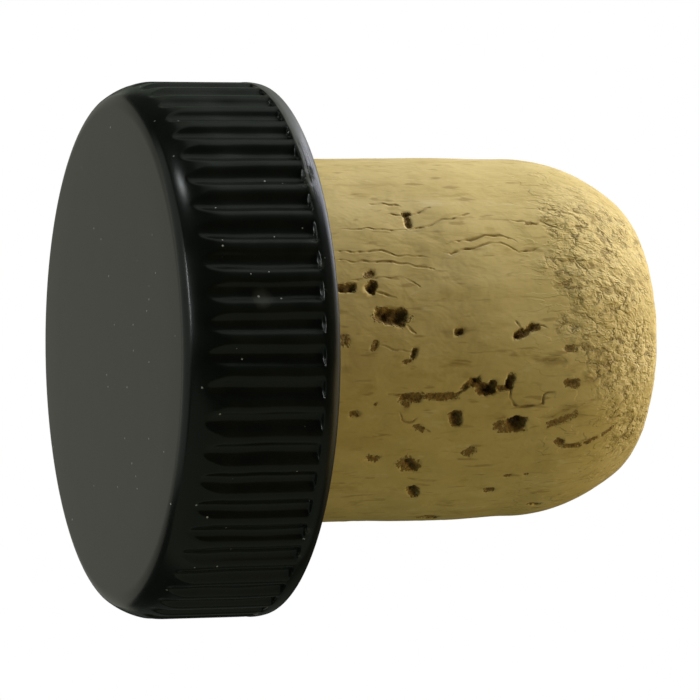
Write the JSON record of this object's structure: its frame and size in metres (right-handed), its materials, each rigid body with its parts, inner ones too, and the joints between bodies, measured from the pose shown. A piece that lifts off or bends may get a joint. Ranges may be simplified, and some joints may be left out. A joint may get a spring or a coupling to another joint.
{
  "type": "cork stopper",
  "caption": "Bar-top bottle stopper: a round black plastic cap with a fluted grip, glued on a natural cork shank with a rounded end.",
  "frame": {"origin": "middle of the cap's flat crown, the face that it stands on", "axes": "+Z along the cap's axis from the crown towards the cork's tip; the cork sits a little off that axis, towards -X"},
  "size_m": [0.029, 0.029, 0.029],
  "materials": {
    "cap_plastic": "satin black moulding",
    "natural_cork": "bare ground cork"
  },
  "bodies": {
    "root": {"cap": "cap_plastic", "cork_shank": "natural_cork"}
  },
  "joints": []
}
